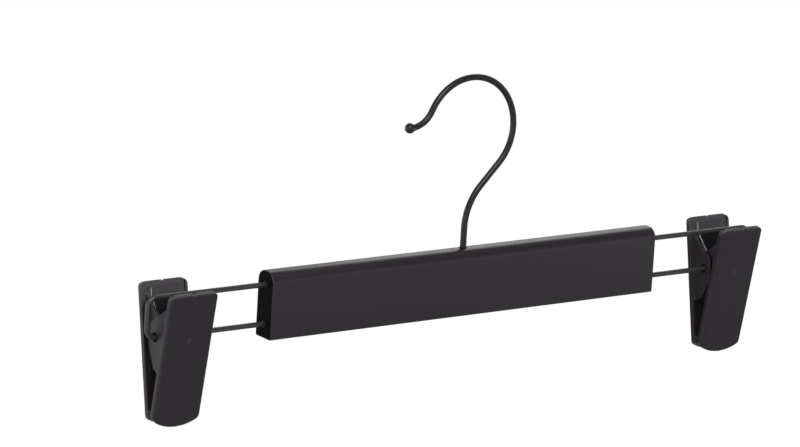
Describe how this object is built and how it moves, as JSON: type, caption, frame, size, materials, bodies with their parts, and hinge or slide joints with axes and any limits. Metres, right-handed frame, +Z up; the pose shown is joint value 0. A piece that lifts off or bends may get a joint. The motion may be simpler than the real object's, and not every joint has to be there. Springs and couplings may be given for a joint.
{
  "type": "skirt hanger",
  "caption": "Slim wooden bar on a swivelling wire hook, with a wire loop at each end that carries a sliding, sprung two-jaw clip for skirts and trousers.",
  "frame": {"origin": "inside crest of the hook, where it rests on a rail", "axes": "+X along the bar, to the right seen from the front; +Y from front to back; +Z up. The hook opens towards -X"},
  "size_m": [0.3472, 0.0296, 0.1497],
  "materials": {
    "bar_wood": "satin black lacquer",
    "wire_black": "gloss black enamel",
    "clip_plastic": "satin black moulding",
    "spring_steel": "blackened steel strip with bright sheared edges",
    "washer_steel": "plain"
  },
  "bodies": {
    "hook": {"hook": "wire_black"},
    "bar": {"bar": "bar_wood", "hook_washer": "washer_steel", "left_wire": "wire_black", "right_wire": "wire_black"},
    "left_clip": {"left_spring": "spring_steel"},
    "left_front_jaw": {"left_front_jaw": "clip_plastic"},
    "left_rear_jaw": {"left_rear_jaw": "clip_plastic"},
    "right_clip": {"right_spring": "spring_steel"},
    "right_front_jaw": {"right_front_jaw": "clip_plastic"},
    "right_rear_jaw": {"right_rear_jaw": "clip_plastic"}
  },
  "joints": [
    {"name": "hook_swivel", "type": "hinge", "parent": "hook", "child": "bar", "pos_m": [0, 0, 0], "axis": [0, 0, 1], "continuous": true},
    {"name": "left_clip_slide", "type": "slide", "parent": "bar", "child": "left_clip", "axis": [1, 0, 0], "range_m": [0, 0.034]},
    {"name": "right_clip_slide", "type": "slide", "parent": "bar", "child": "right_clip", "axis": [-1, 0, 0], "range_m": [0, 0.034]},
    {"name": "left_front_squeeze", "type": "hinge", "parent": "left_clip", "child": "left_front_jaw", "pos_m": [-0.157, 0, -0.10471], "axis": [-1, 0, 0], "range_deg": [0, 18], "stiffness_Nm_per_rad": 0.05, "springref_deg": -2.86, "deforming": ["left_spring"]},
    {"name": "left_rear_squeeze", "type": "hinge", "parent": "left_clip", "child": "left_rear_jaw", "pos_m": [-0.157, 0, -0.10471], "axis": [1, 0, 0], "range_deg": [0, 18], "stiffness_Nm_per_rad": 0.05, "springref_deg": -2.86, "deforming": ["left_spring"]},
    {"name": "right_front_squeeze", "type": "hinge", "parent": "right_clip", "child": "right_front_jaw", "pos_m": [0.157, 0, -0.10471], "axis": [-1, 0, 0], "range_deg": [0, 18], "stiffness_Nm_per_rad": 0.05, "springref_deg": -2.86, "deforming": ["right_spring"]},
    {"name": "right_rear_squeeze", "type": "hinge", "parent": "right_clip", "child": "right_rear_jaw", "pos_m": [0.157, 0, -0.10471], "axis": [1, 0, 0], "range_deg": [0, 18], "stiffness_Nm_per_rad": 0.05, "springref_deg": -2.86, "deforming": ["right_spring"]}
  ],
  "couplings": [
    {"joint": "left_rear_squeeze", "follows": "left_front_squeeze", "ratio": 1},
    {"joint": "right_rear_squeeze", "follows": "right_front_squeeze", "ratio": 1}
  ]
}
